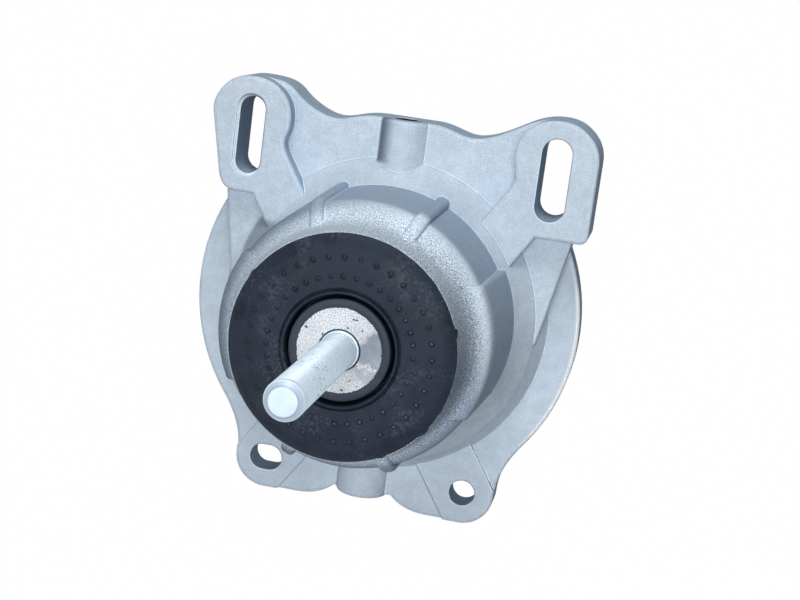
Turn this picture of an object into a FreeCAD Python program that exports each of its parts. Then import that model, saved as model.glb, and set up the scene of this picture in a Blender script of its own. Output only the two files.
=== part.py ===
"""Engine mount: cast housing with bonded rubber spring, core, stud and the fluid parts inside."""

import math
import os

import FreeCAD
import Part

# Heights above the back face, in millimetres
flange_height = 8.7
plate_height = 15.0
pad_height = 20.8
lug_pad_step = 1.5
lug_pad_height = flange_height + lug_pad_step
lip_height = 77.5

# Flange and the flare up to the dome
flange_radius = 68.1
flare_radius = 57.2
flare_plate_radius = 53.4
flare_pad_radius = 48.2

# Thick side walls of the dome, with the drops from the lip
thick_wall_inset = 1.2
thick_wall_rise = 1.1
thick_wall_draft = 2.2
thick_wall_drop = 17.5
thick_lip_inset = 4.6
thick_lip_drop = 13.0
thick_end_drop = 6.5
thick_end_depth = 2.5
thick_wall_radius = flare_pad_radius - thick_wall_inset
thick_wall_start = pad_height + thick_wall_rise
thick_wall_top_radius = thick_wall_radius - thick_wall_draft
thick_wall_top = lip_height - thick_wall_drop
thick_lip_radius = thick_wall_top_radius - thick_lip_inset
thick_lip_height = lip_height - thick_lip_drop

# Thin walls between them
thin_wall_inset = 2.0
thin_wall_rise = 1.9
thin_wall_draft = 1.0
thin_wall_drop = 20.8
thin_lip_inset = 4.9
thin_lip_drop = 11.5
thin_wall_radius = thick_wall_radius - thin_wall_inset
thin_wall_start = thick_wall_start + thin_wall_rise
thin_wall_top_radius = thin_wall_radius - thin_wall_draft
thin_wall_top = lip_height - thin_wall_drop
thin_lip_radius = thin_wall_top_radius - thin_lip_inset
thin_lip_height = lip_height - thin_lip_drop
thick_end_radius = thin_lip_radius - thick_end_depth
thick_end_height = lip_height - thick_end_drop

# Opening at the lip, where the rubber ends
lip_width = 2.9
lip_land = 0.4
mouth_radius = thin_lip_radius - lip_width
lip_edge_radius = mouth_radius + lip_land

# Thick side walls reach from one level across the axis to the other
thick_wall_upper = 22.6
thick_wall_lower = 20.4
thick_wall_end_round = 1.2

# Ribs on the thin wall
rib_angle = 22.5
rib_width = 4.6
rib_round = 1.6
rib_foot_depth = 1.0
rib_stand_out = 1.2
rib_top_drop = 3.0
rib_end_depth = 1.5
rib_end_rise = 3.2
rib_foot = plate_height - rib_foot_depth
rib_top_radius = thick_wall_top_radius + rib_stand_out
rib_top = thick_wall_top - rib_top_drop
rib_end_radius = thin_lip_radius - rib_end_depth
rib_end_height = thin_lip_height + rib_end_rise

# Upper lugs
slot_x = 52.6
slot_y = 54.5
slot_half_length = 8.83
slot_radius = 5.1
slot_back_radius = 5.2
ledge_width = 1.2
ledge_return = 0.2
ledge_depth = 0.5
lug_top_x = 52.9
lug_top_y = 74.5
lug_side_x = 66.85
lug_side_y = 61.0
lug_shoulder_x = 62.6
lug_shoulder_y = 70.7
lug_inner_x = 38.55
lug_inner_y = 61.0
lug_inner_shoulder_x = 42.4
lug_inner_shoulder_y = 70.6
lug_notch_x = 39.9
lug_notch_y = 53.4
wedge_start_x = 38.2
wedge_start_y = 49.0
lug_bottom_y = 34.7
lug_corner_round = 3.0
lug_wedge_x = 49.2
wedge_inner_x = 26.9
wedge_inner_y = 31.3
wedge_outer_x = 38.0
wedge_outer_y = 16.5
narrow_lug_side_x = 66.1
narrow_lug_foot_x = 62.0
narrow_lug_foot_y = 41.0
narrow_lug_corner_x = 55.5

# Gussets under the upper lugs
gusset_top_x = 61.6
narrow_gusset_top_x = 60.0
gusset_foot_x = 54.2
gusset_foot_y = 3.0
gusset_inner_x = 40.0

# Wavy upper edge of the plate
slope_x = 36.8
slope_y = 68.9
trough_right_x = 23.0
trough_left_x = 25.6
trough_y = 64.0
crest_x = 9.0
crest_y = 66.7

# Lower lugs
hole_x = 36.0
hole_y = 61.0
hole_radius = 4.6
oval_half_length = 1.3
lug_round = 11.2
lug_foot_x = 24.0
lug_start_x = 10.5
lug_waist_x = 48.9
lug_waist_y = 51.0
lug_join_angle = 36.5
strip_half_width = 10.6
strip_angle = 56.5

# Half-round bosses at the top and the bottom
boss_x = -0.4
boss_radius = 9.1
top_boss_axis = 10.7
bottom_boss_axis = 6.4
boss_cover = 12.0
boss_inner = flare_radius - boss_cover

# Edge rounds of the casting, and the slack for picking edges by place
edge_round = 0.9
back_edge_round = 0.5
tolerance = 0.01

# Chamber behind the dome and the groove of its retaining ring
chamber_radius = 50.0
plate_seat_width = 4.5
plate_seat = 13.0
plate_bore_depth = 4.0
groove_depth = 1.6
groove_low = 1.0
groove_width = 1.8
plate_bore_radius = chamber_radius - plate_seat_width
plate_bore_top = plate_seat + plate_bore_depth
groove_radius = chamber_radius + groove_depth
groove_high = groove_low + groove_width

# Neck that the rubber is bonded to
neck_wall = 4.0
neck_taper = 2.0
neck_rise = 3.0
throat_depth = 7.5
throat_inset = 3.0
neck_radius = thin_wall_radius - neck_wall
neck_top_radius = neck_radius - neck_taper
neck_start = plate_bore_top + neck_rise
neck_top = thin_wall_top
throat_height = lip_height - throat_depth
throat_radius = mouth_radius - throat_inset

# Filling hole in the top boss and its plug
fill_hole_mouth_radius = 4.6
fill_hole_mouth_depth = 3.4
fill_hole_radius = 3.0
fill_passage_radius = 2.2
fill_passage_lap = 0.3
plug_depth = 5.0
plug_stand_out = 0.9
plug_round = 0.8
fill_passage_inner = chamber_radius - fill_passage_lap
plug_inner = chamber_radius + plug_depth

# Face of the rubber spring, measured from the lip
face_rise = 2.7
rubber_edge_drop = 0.9
rubber_edge_width = 2.0
ring_lip_rise = 0.7
collar_rise = 0.6
collar_round = 0.6
groove_floor_depth = 9.2
face_height = lip_height + face_rise
rubber_flat_height = face_height - rubber_edge_drop
rubber_flat_radius = mouth_radius - rubber_edge_width
ring_lip_height = face_height + ring_lip_rise
collar_height = face_height + collar_rise
groove_floor = face_height - groove_floor_depth

# Core, with the collar, groove and raised ring round it
core_radius = 13.7
core_face_rise = 0.2
core_taper = 3.7
core_taper_height = 18.0
core_length = 36.4
collar_width = 2.4
collar_draft = 0.2
groove_gap = 1.5
ring_lip_width = 0.9
core_face_height = face_height + core_face_rise
core_foot = core_face_height - core_length
core_foot_radius = core_radius - core_taper
core_taper_start = core_foot + core_taper_height
collar_radius = core_radius + collar_width
groove_inner_radius = collar_radius + collar_draft
groove_outer_radius = groove_inner_radius + groove_gap
ring_lip_radius = groove_outer_radius + ring_lip_width

# Hollow under the rubber spring
rubber_foot_rise = 9.0
rubber_foot = neck_start + rubber_foot_rise
spring_arch_radius = 27.0
spring_arch_drop = 35.2
spring_arch_height = face_height - spring_arch_drop

# Stud
stud_radius = 6.0
stud_reach = 67.2
stud_depth = 26.4
stud_chamfer_width = 1.8
stud_chamfer_height = 1.6
shank_step = 0.3
shank_rise = 0.6
core_bore_chamfer_width = 0.3
core_bore_chamfer_depth = 0.4
shank_radius = stud_radius + shank_step
shank_top = core_face_height + shank_rise
stud_top = core_face_height + stud_reach
stud_foot = core_face_height - stud_depth

# Channel plates
lower_plate_thickness = 6.0
channel_inset = 3.5
channel_width = 7.0
channel_depth = 3.4
channel_degrees = 300.0
entry_radius = 3.0
channel_outer = plate_bore_radius - channel_inset
channel_inner = channel_outer - channel_width
channel_floor = plate_seat - channel_depth
lower_plate_bottom = plate_seat - lower_plate_thickness

# Decoupler, its cage and the ports through to it
cage_radius = 27.0
cage_depth = 2.6
decoupler_gap = 0.4
port_count = 8
port_radius = 3.4
port_ring = 18.0
cage_floor = plate_seat - cage_depth
decoupler_radius = cage_radius - decoupler_gap
decoupler_height = cage_depth - decoupler_gap

# Seal ring in the lower channel plate
seal_width = 2.4
seal_height = 2.4
seal_rise = 2.0
seal_inner = chamber_radius - seal_width
seal_low = lower_plate_bottom + seal_rise
seal_high = seal_low + seal_height

# Diaphragm and the bottom cover that clamps it
bead_width = 6.0
bead_height = 2.6
diaphragm_thickness = 1.6
diaphragm_valley_radius = 30.0
diaphragm_dip = 1.0
diaphragm_centre_radius = 14.0
cover_thickness = 1.6
cover_wall_inset = 6.4
cover_vent_radius = 2.0
cover_vent_offset = 22.0
diaphragm_rim = chamber_radius - bead_width
diaphragm_bottom = lower_plate_bottom - bead_height
diaphragm_valley = diaphragm_bottom - diaphragm_dip
cover_pan_radius = chamber_radius - cover_wall_inset

# Retaining ring
ring_lap = 3.6
ring_gap_degrees = 14.0
ring_inner = chamber_radius - ring_lap


def v(x, y, z=0.0):
    return FreeCAD.Vector(x, y, z)


def line(a, b):
    return Part.makeLine(a, b)


def arc(a, mid, b):
    return Part.Arc(a, mid, b).toShape()


def curve(points, start, end):
    """Smooth curve through the points with the given end directions."""
    spline = Part.BSplineCurve()
    spline.interpolate(Points=points, InitialTangent=start, FinalTangent=end)
    return spline.toShape()


def prism(edges, low, high):
    """Upright block over a closed outline drawn at height zero."""
    face = Part.Face(Part.Wire(Part.__sortEdges__(edges)))
    face.translate(v(0, 0, low))
    return face.extrude(v(0, 0, high - low))


def level_edges(solid, height):
    """Edges of the solid that lie at one height."""
    return [
        e
        for e in solid.Edges
        if abs(e.BoundBox.ZMin - height) < tolerance and abs(e.BoundBox.ZMax - height) < tolerance
    ]


def rounded_block(edges, high):
    """Block on the back face with both rims rounded."""
    block = prism(edges, 0.0, high)
    block = block.makeFillet(edge_round, level_edges(block, high))
    return block.makeFillet(back_edge_round, level_edges(block, 0.0))


def disc(radius, low, high):
    return Part.makeCylinder(radius, high - low, v(0, 0, low))


def turned(points):
    """Body of revolution about the axis from a closed radius and height outline."""
    corners = [v(r, 0, z) for r, z in points]
    corners.append(corners[0])
    return Part.Face(Part.makePolygon(corners)).revolve(v(0, 0, 0), v(0, 0, 1), 360)


def turned_edges(edges):
    """Body of revolution about the axis from a closed outline of edges."""
    face = Part.Face(Part.Wire(Part.__sortEdges__(edges)))
    return face.revolve(v(0, 0, 0), v(0, 0, 1), 360)


def mirrored(shape):
    return shape.mirror(v(0, 0, 0), v(1, 0, 0))


def joined(shapes):
    body = shapes[0]
    for shape in shapes[1:]:
        body = body.fuse(shape)
    return body.removeSplitter()


def on_flange(degrees):
    """Point of the flange's rim, measured from the X axis towards the lower lugs."""
    angle = math.radians(degrees)
    return v(flange_radius * math.cos(angle), -flange_radius * math.sin(angle))


# Outlines of the plate and the pads


def upper_edge():
    """Wavy upper edge from the right lug's top to the left lug's top."""
    level = v(-1, 0)
    right = curve(
        [v(lug_top_x, lug_top_y), v(slope_x, slope_y), v(trough_right_x, trough_y), v(crest_x, crest_y)],
        level,
        level,
    )
    left = curve(
        [v(-crest_x, crest_y), v(-trough_left_x, trough_y), v(-slope_x, slope_y), v(-lug_top_x, lug_top_y)],
        level,
        level,
    )
    return [right, line(v(crest_x, crest_y), v(-crest_x, crest_y)), left]


def right_lug_side():
    """Outer outline of the right lug from its top to its lower edge."""
    top = v(lug_top_x, lug_top_y)
    side = v(lug_side_x, lug_side_y)
    corner_start = v(lug_side_x, lug_bottom_y + lug_corner_round)
    corner_end = v(lug_side_x - lug_corner_round, lug_bottom_y)
    reach = lug_corner_round * (1 - math.sqrt(0.5))
    corner_middle = v(lug_side_x - reach, lug_bottom_y + reach)
    return [
        curve([top, v(lug_shoulder_x, lug_shoulder_y), side], v(1, 0), v(0, -1)),
        line(side, corner_start),
        arc(corner_start, corner_middle, corner_end),
    ], corner_end


def left_lug_side():
    """Outer outline of the left lug, which narrows downwards to its foot."""
    top = v(-lug_top_x, lug_top_y)
    side = v(-narrow_lug_side_x, lug_side_y)
    foot = v(-narrow_lug_foot_x, narrow_lug_foot_y)
    return [
        curve([top, v(-lug_shoulder_x, lug_shoulder_y), side], v(-1, 0), foot - side),
        line(side, foot),
    ], foot


def left_pad_side():
    """Outer outline of the left pad with its rounded lower corner."""
    edges, foot = left_lug_side()
    corner = v(-narrow_lug_corner_x, lug_bottom_y)
    down = foot - v(-narrow_lug_side_x, lug_side_y)
    return edges + [curve([foot, corner], down, v(1, 0))], corner


def plate_outline():
    right, right_end = right_lug_side()
    left, left_end = left_lug_side()
    right_path = [
        right_end,
        v(gusset_top_x, lug_bottom_y),
        v(gusset_foot_x, -gusset_foot_y),
        v(gusset_inner_x, -gusset_foot_y),
    ]
    left_path = [
        v(-gusset_inner_x, -gusset_foot_y),
        v(-gusset_foot_x, -gusset_foot_y),
        v(-narrow_gusset_top_x, lug_bottom_y),
        left_end,
    ]
    path = right_path + left_path
    return upper_edge() + right + left + [line(a, b) for a, b in zip(path, path[1:])]


def pad_inner_edges(side):
    """Inner outline of a slot pad, from the lug's top round the notch to the wedge on the dome."""
    inner = v(side * lug_inner_x, lug_inner_y)
    notch = v(side * lug_notch_x, lug_notch_y)
    wedge = [
        v(side * wedge_start_x, wedge_start_y),
        v(side * wedge_inner_x, wedge_inner_y),
        v(side * wedge_outer_x, wedge_outer_y),
        v(side * lug_wedge_x, lug_bottom_y),
    ]
    return [
        curve(
            [v(side * lug_top_x, lug_top_y), v(side * lug_inner_shoulder_x, lug_inner_shoulder_y), inner],
            v(-side, 0),
            v(0, -1),
        ),
        curve([inner, notch, wedge[0]], v(0, -1), wedge[1] - wedge[0]),
    ] + [line(a, b) for a, b in zip(wedge, wedge[1:])]


def pad_outline(side):
    outer, corner = right_lug_side() if side > 0 else left_pad_side()
    return outer + [line(corner, v(side * lug_wedge_x, lug_bottom_y))] + pad_inner_edges(side)


def lug_start():
    """Point of the flange's rim beside the bottom boss where the right lower lug starts."""
    return v(lug_start_x, -math.sqrt(flange_radius**2 - lug_start_x**2))


def lower_lug_edges():
    """Outer outline of the right lower lug, from the bottom boss to the flange's rim."""
    start = lug_start()
    low = v(hole_x, -hole_y - lug_round)
    foot = v(lug_foot_x, low.y)
    side = v(hole_x + lug_round, -hole_y)
    diagonal = lug_round * math.sqrt(0.5)
    join = on_flange(lug_join_angle)
    return [
        curve([start, foot], v(1, -1), v(1, 0)),
        line(foot, low),
        arc(low, v(hole_x + diagonal, -hole_y - diagonal), side),
        curve([side, v(lug_waist_x, -lug_waist_y), join], v(0, 1), v(-join.y, join.x)),
    ]


def lower_lug_outline():
    """Right lower lug, closed through the middle of the flange."""
    middle = v(0, 0)
    return lower_lug_edges() + [line(on_flange(lug_join_angle), middle), line(middle, lug_start())]


def flange_outline():
    """Round flange with both lower lugs."""
    right = lower_lug_edges()
    left = [mirrored(e) for e in right]
    over = arc(on_flange(lug_join_angle), v(0, flange_radius), on_flange(180 - lug_join_angle))
    start = lug_start()
    under = arc(v(-start.x, start.y), v(0, -flange_radius), start)
    return right + left + [over, under]


# Casting


def flange():
    """Flange with its rim cut back along the wavy upper edge."""
    plain = prism(flange_outline(), 0.0, flange_height)
    above = v(-lug_top_x, flange_radius + lug_round), v(lug_top_x, flange_radius + lug_round)
    ends = v(-lug_top_x, lug_top_y), v(lug_top_x, lug_top_y)
    frame = [line(ends[0], above[0]), line(above[0], above[1]), line(above[1], ends[1])]
    plain = plain.cut(prism(upper_edge() + frame, -1.0, flange_height + 1.0))
    plain = plain.makeFillet(edge_round, level_edges(plain, flange_height))
    return plain.makeFillet(back_edge_round, level_edges(plain, 0.0))


def lug_pads():
    """Slightly raised strips through the holes of the lower lugs."""
    raised = rounded_block(lower_lug_outline(), lug_pad_height)
    strip = Part.makeBox(
        flange_radius, 2 * strip_half_width, lug_pad_height, v(flare_plate_radius - lug_round, -strip_half_width, 0)
    )
    strip.rotate(v(0, 0, 0), v(0, 0, 1), -strip_angle)
    across = math.radians(90 - strip_angle)
    offset = hole_x * math.cos(across) - hole_y * math.sin(across)
    strip.translate(v(offset * math.cos(across), offset * math.sin(across)))
    raised = raised.common(strip)
    return [raised, mirrored(raised)]


def shoulder_points():
    return [
        (flare_radius, flange_height),
        (flare_plate_radius, plate_height),
        (flare_pad_radius, pad_height),
    ]


def dome_outline(wall_radius, wall_start, top, lip, end):
    """Closed outline of the dome for one wall thickness, in the plane of the axis."""
    base = [v(0, 0, 0), v(flare_radius, 0, 0)]
    shoulder = [v(r, 0, z) for r, z in shoulder_points()] + [v(wall_radius, 0, wall_start)]
    path = base + shoulder + [top]
    edges = [line(a, b) for a, b in zip(path, path[1:])]
    edges.append(curve([top, lip, end], top - shoulder[-1], end - lip))
    return edges + [line(end, v(0, 0, end.z)), line(v(0, 0, end.z), base[0])]


def thick_outline():
    """Outline of the thick walls, which sink into the thin lip."""
    top = v(thick_wall_top_radius, 0, thick_wall_top)
    lip = v(thick_lip_radius, 0, thick_lip_height)
    return dome_outline(thick_wall_radius, thick_wall_start, top, lip, v(thick_end_radius, 0, thick_end_height))


def thin_dome():
    top = v(thin_wall_top_radius, 0, thin_wall_top)
    lip = v(thin_lip_radius, 0, thin_lip_height)
    edge = v(lip_edge_radius, 0, lip_height)
    return turned_edges(dome_outline(thin_wall_radius, thin_wall_start, top, lip, edge))


def thick_walls():
    """Side walls, kept between two upright planes."""
    block = Part.makeBox(
        2 * flare_radius,
        thick_wall_upper + thick_wall_lower,
        lip_height,
        v(-flare_radius, -thick_wall_lower, 0),
    )
    walls = turned_edges(thick_outline()).common(block)
    ends = [e for e in walls.Edges if on_wall_end(e)]
    return walls.makeFillet(thick_wall_end_round, ends)


def on_wall_end(edge):
    """True for an edge between a thick wall's outer face and its upright end."""
    box = edge.BoundBox
    at_end = min(abs(box.YMin - thick_wall_upper), abs(box.YMin + thick_wall_lower)) < tolerance
    upright = box.YLength < tolerance and box.ZMin > thick_wall_start - tolerance and box.ZLength > tolerance
    return at_end and upright


def rib_outline():
    """Closed outline of a rib: straight up the wall, then over until it sinks into the lip."""
    top = v(rib_top_radius, 0, rib_top)
    start = v(thick_wall_radius, 0, thick_wall_start)
    slope = (top.x - start.x) / (top.z - start.z)
    foot = v(start.x - slope * (start.z - rib_foot), 0, rib_foot)
    end = v(rib_end_radius, 0, rib_end_height)
    inner = v(rib_end_radius, 0, rib_foot)
    return [
        line(foot, top),
        curve([top, end], top - foot, v(-1, 0, 1)),
        line(end, inner),
        line(inner, foot),
    ]


def rib(degrees):
    """Upright rib with rounded outer edges that runs out over the lip."""
    face = Part.Face(Part.Wire(Part.__sortEdges__(rib_outline())))
    face.translate(v(0, -rib_width / 2, 0))
    body = face.extrude(v(0, rib_width, 0))
    outer = [e for e in body.Edges if e.BoundBox.YLength < tolerance and e.BoundBox.XMax > thick_lip_radius]
    outer = [e for e in outer if e.BoundBox.ZLength > rib_width]
    body = body.makeFillet(rib_round, outer)
    body.rotate(v(0, 0, 0), v(0, 0, 1), degrees)
    return body


def ribs():
    return [
        rib(90 - rib_angle),
        rib(90 + rib_angle),
        rib(-90 - rib_angle),
        rib(-90 + rib_angle),
    ]


def boss(axis_height, outer_y):
    """Half-round boss lying along the Y axis."""
    inner_y = math.copysign(boss_inner, outer_y)
    body = Part.makeCylinder(boss_radius, abs(outer_y) - boss_inner, v(boss_x, inner_y, axis_height), v(0, outer_y, 0))
    rim = [e for e in body.Edges if abs(e.BoundBox.Center.y - outer_y) < tolerance]
    body = body.makeFillet(edge_round, rim)
    keep = Part.makeBox(4 * boss_radius, 2 * flange_radius, lip_height, v(-2 * boss_radius, min(0, outer_y), 0))
    return body.common(keep)


def slot_wire(radius, half_length, height):
    up = v(0, half_length, height)
    down = v(0, -half_length, height)
    side = v(radius, 0)
    return Part.Wire(
        [
            line(down + side, up + side),
            arc(up + side, up + v(0, radius), up - side),
            line(up - side, down - side),
            arc(down - side, down - v(0, radius), down + side),
        ]
    )


def slot(x, left_ledge, right_ledge):
    """Cast slot whose walls open towards the back; a ledge moves a side wall in."""
    upper = slot_wire(slot_radius - (left_ledge + right_ledge) / 2, slot_half_length, pad_height)
    upper.translate(v((left_ledge - right_ledge) / 2, 0))
    walls = Part.makeLoft([slot_wire(slot_back_radius, slot_half_length, 0.0), upper], True)
    walls.translate(v(x, slot_y))
    return walls


def slot_mouth(x):
    """Shallow mouth above the ledge of a slot."""
    mouth = Part.Face(slot_wire(slot_radius, slot_half_length, pad_height - ledge_depth))
    mouth = mouth.extrude(v(0, 0, ledge_depth))
    mouth.translate(v(x, slot_y))
    return mouth


def openings():
    cuts = [slot(slot_x, 0.0, 0.0), slot(-slot_x, ledge_width, ledge_return), slot_mouth(-slot_x)]
    cuts.append(Part.makeCylinder(hole_radius, lug_pad_height, v(hole_x, -hole_y)))
    oval = slot_wire(hole_radius, oval_half_length, 0.0)
    oval.rotate(v(0, 0, 0), v(0, 0, 1), 90)
    oval.translate(v(-hole_x, -hole_y))
    cuts.append(Part.Face(oval).extrude(v(0, 0, lug_pad_height)))
    return cuts


def bore_points():
    return [
        (chamber_radius, 0.0),
        (chamber_radius, groove_low),
        (groove_radius, groove_low),
        (groove_radius, groove_high),
        (chamber_radius, groove_high),
        (chamber_radius, plate_seat),
        (plate_bore_radius, plate_seat),
        (plate_bore_radius, plate_bore_top),
        (neck_radius, neck_start),
        (neck_top_radius, neck_top),
        (throat_radius, throat_height),
        (mouth_radius, lip_height),
    ]


def bores():
    return turned([(0.0, 0.0)] + bore_points() + [(0.0, lip_height)])


def along_boss(radius, start, end):
    """Round bar on the top boss's axis."""
    return Part.makeCylinder(radius, end - start, v(boss_x, start, top_boss_axis), v(0, 1, 0))


def fill_hole():
    """Stepped filling hole in the top boss: mouth, plug seat and passage."""
    mouth_floor = crest_y - fill_hole_mouth_depth
    return [
        along_boss(fill_hole_mouth_radius, mouth_floor, crest_y),
        along_boss(fill_hole_radius, plug_inner, mouth_floor),
        along_boss(fill_passage_radius, fill_passage_inner, plug_inner),
    ]


def housing():
    body = joined(
        [flange()]
        + lug_pads()
        + [
            rounded_block(plate_outline(), plate_height),
            rounded_block(pad_outline(1), pad_height),
            rounded_block(pad_outline(-1), pad_height),
            thin_dome(),
            thick_walls(),
            boss(top_boss_axis, crest_y),
            boss(bottom_boss_axis, -flange_radius),
        ]
        + ribs()
    )
    for cut in [bores()] + openings() + fill_hole():
        body = body.cut(cut)
    return body.removeSplitter()


# Rubber spring, core and stud


def rubber_spring():
    """Spring between core and housing, with collar, deep groove and raised ring on its face."""
    outer = [
        v(mouth_radius, 0, lip_height),
        v(throat_radius, 0, throat_height),
        v(neck_top_radius, 0, neck_top),
        v(neck_at(rubber_foot), 0, rubber_foot),
    ]
    under = curve(
        [outer[-1], v(spring_arch_radius, 0, spring_arch_height), v(core_foot_radius, 0, core_foot)],
        v(-1, 0, 0),
        v(-1, 0, 0),
    )
    core_side = [
        v(core_foot_radius, 0, core_foot),
        v(core_radius, 0, core_taper_start),
        v(core_radius, 0, core_face_height),
        v(collar_radius - collar_round, 0, collar_height),
        v(collar_radius, 0, collar_height - collar_round),
        v(groove_inner_radius, 0, groove_floor),
        v(groove_outer_radius, 0, groove_floor),
        v(groove_outer_radius, 0, ring_lip_height),
        v(ring_lip_radius, 0, face_height),
        v(rubber_flat_radius, 0, rubber_flat_height),
        outer[0],
    ]
    edges = [line(a, b) for a, b in zip(outer, outer[1:])] + [under]
    edges += [line(a, b) for a, b in zip(core_side, core_side[1:])]
    return turned_edges(edges)


def neck_at(height):
    """Radius of the neck's bore at one height."""
    share = (height - neck_start) / (neck_top - neck_start)
    return neck_radius + share * (neck_top_radius - neck_radius)


def core():
    """Cast core with a bore for the stud's shank, slightly chamfered at its mouth."""
    return turned(
        [
            (0.0, core_foot),
            (core_foot_radius, core_foot),
            (core_radius, core_taper_start),
            (core_radius, core_face_height),
            (shank_radius + core_bore_chamfer_width, core_face_height),
            (shank_radius, core_face_height - core_bore_chamfer_depth),
            (shank_radius, stud_foot),
            (0.0, stud_foot),
        ]
    )


def stud():
    """Stud with a thicker shank held in the core."""
    return turned(
        [
            (0.0, stud_foot),
            (shank_radius, stud_foot),
            (shank_radius, shank_top),
            (stud_radius, shank_top),
            (stud_radius, stud_top - stud_chamfer_height),
            (stud_radius - stud_chamfer_width, stud_top),
            (0.0, stud_top),
        ]
    )


# Fluid unit


def ports(low, high):
    """Ring of round ports."""
    cuts = []
    for number in range(port_count):
        port = Part.makeCylinder(port_radius, high - low, v(port_ring, 0, low))
        port.rotate(v(0, 0, 0), v(0, 0, 1), number * 360 / port_count)
        cuts.append(port)
    return cuts


def upper_channel_plate():
    body = disc(plate_bore_radius, plate_seat, plate_bore_top)
    entry_ring = (channel_inner + channel_outer) / 2
    entry = Part.makeCylinder(entry_radius, plate_bore_top - plate_seat, v(entry_ring, 0, plate_seat))
    return body.cut(ports(plate_seat, plate_bore_top) + [entry])


def lower_channel_plate():
    body = disc(chamber_radius, lower_plate_bottom, plate_seat)
    ring = disc(channel_outer, channel_floor, plate_seat).cut(disc(channel_inner, channel_floor, plate_seat))
    sector = Part.makeCylinder(
        chamber_radius, plate_seat - channel_floor, v(0, 0, channel_floor), v(0, 0, 1), channel_degrees
    )
    sector.rotate(v(0, 0, 0), v(0, 0, 1), -entry_radius * 2)
    cage = disc(cage_radius, cage_floor, plate_seat)
    seal_seat = disc(chamber_radius, seal_low, seal_high).cut(disc(seal_inner, seal_low, seal_high))
    outlet = Part.makeCylinder(
        entry_radius,
        channel_floor - lower_plate_bottom,
        v((channel_inner + channel_outer) / 2, 0, lower_plate_bottom),
    )
    outlet.rotate(v(0, 0, 0), v(0, 0, 1), channel_degrees - 4 * entry_radius)
    return body.cut([ring.common(sector), cage, seal_seat, outlet] + ports(lower_plate_bottom, cage_floor))


def decoupler():
    return disc(decoupler_radius, cage_floor, cage_floor + decoupler_height)


def seal_ring():
    return disc(chamber_radius, seal_low, seal_high).cut(disc(seal_inner, seal_low, seal_high))


def diaphragm():
    """Rim bead and a thin skin that dips towards the cover."""
    skin_top = diaphragm_bottom + diaphragm_thickness
    valley_top = diaphragm_valley + diaphragm_thickness
    return turned(
        [
            (0.0, diaphragm_bottom),
            (diaphragm_centre_radius, diaphragm_bottom),
            (diaphragm_valley_radius, diaphragm_valley),
            (diaphragm_rim, diaphragm_bottom),
            (chamber_radius, diaphragm_bottom),
            (chamber_radius, lower_plate_bottom),
            (diaphragm_rim, lower_plate_bottom),
            (diaphragm_rim, skin_top),
            (diaphragm_valley_radius, valley_top),
            (diaphragm_centre_radius, skin_top),
            (0.0, skin_top),
        ]
    )


def bottom_cover():
    """Pressed cover: flat pan level with the back face and a raised rim."""
    pan = cover_pan_radius
    wall = pan + cover_thickness
    cover = turned(
        [
            (0.0, 0.0),
            (pan, 0.0),
            (wall, groove_high),
            (chamber_radius, groove_high),
            (chamber_radius, diaphragm_bottom),
            (wall - cover_thickness / 2, diaphragm_bottom),
            (pan - cover_thickness / 2, cover_thickness),
            (0.0, cover_thickness),
        ]
    )
    vent = Part.makeCylinder(cover_vent_radius, cover_thickness, v(0, -cover_vent_offset))
    return cover.cut(vent)


def retaining_ring():
    ring = disc(groove_radius, groove_low, groove_high).cut(disc(ring_inner, groove_low, groove_high))
    gap = Part.makeCylinder(groove_radius, groove_high - groove_low, v(0, 0, groove_low), v(0, 0, 1), ring_gap_degrees)
    return ring.cut(gap)


def filling_plug():
    outer = crest_y - fill_hole_mouth_depth + plug_stand_out
    plug = along_boss(fill_hole_radius, plug_inner, outer)
    rim = [e for e in plug.Edges if e.BoundBox.YMin > outer - tolerance]
    return plug.makeFillet(plug_round, rim)


pieces = {
    "housing": housing,
    "rubber_spring": rubber_spring,
    "core": core,
    "stud": stud,
    "upper_channel_plate": upper_channel_plate,
    "lower_channel_plate": lower_channel_plate,
    "decoupler": decoupler,
    "seal_ring": seal_ring,
    "diaphragm": diaphragm,
    "bottom_cover": bottom_cover,
    "retaining_ring": retaining_ring,
    "filling_plug": filling_plug,
}

os.makedirs("parts", exist_ok=True)
for name, make in pieces.items():
    shape = make()
    shape.exportStep("parts/" + name + ".step")
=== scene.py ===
"""Looks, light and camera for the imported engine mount.

Seen from the front, X runs to the right, Y up and Z towards the viewer, along the stud. Lengths and places
are in millimetres up to the floor, and in metres from there on.
"""

import math
import random

import bpy
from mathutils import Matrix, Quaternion, Vector, noise

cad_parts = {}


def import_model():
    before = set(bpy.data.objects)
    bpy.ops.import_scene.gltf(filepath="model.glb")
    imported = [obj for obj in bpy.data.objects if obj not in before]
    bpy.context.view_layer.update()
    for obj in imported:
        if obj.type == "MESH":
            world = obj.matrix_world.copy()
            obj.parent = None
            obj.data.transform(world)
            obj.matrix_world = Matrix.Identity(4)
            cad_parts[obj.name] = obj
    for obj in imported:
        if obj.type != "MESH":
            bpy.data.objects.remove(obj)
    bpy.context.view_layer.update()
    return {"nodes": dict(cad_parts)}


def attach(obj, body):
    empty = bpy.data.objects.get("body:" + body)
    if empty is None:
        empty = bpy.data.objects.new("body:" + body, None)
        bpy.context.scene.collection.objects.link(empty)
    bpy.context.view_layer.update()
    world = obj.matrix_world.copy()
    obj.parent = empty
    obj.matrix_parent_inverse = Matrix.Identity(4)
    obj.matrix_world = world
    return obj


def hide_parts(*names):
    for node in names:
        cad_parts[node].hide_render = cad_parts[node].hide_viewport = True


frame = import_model()
nodes = frame["nodes"]

MM = 0.001
WHITE = (1.0, 1.0, 1.0, 1.0)

# Two rings of dots on the rubber's face, which its material and its mesh share

DOT_COUNT = 36
DOT_PHASE = math.radians(3.63)
DOT_RINGS = (23.3, 29.1)


# Nodes

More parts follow.
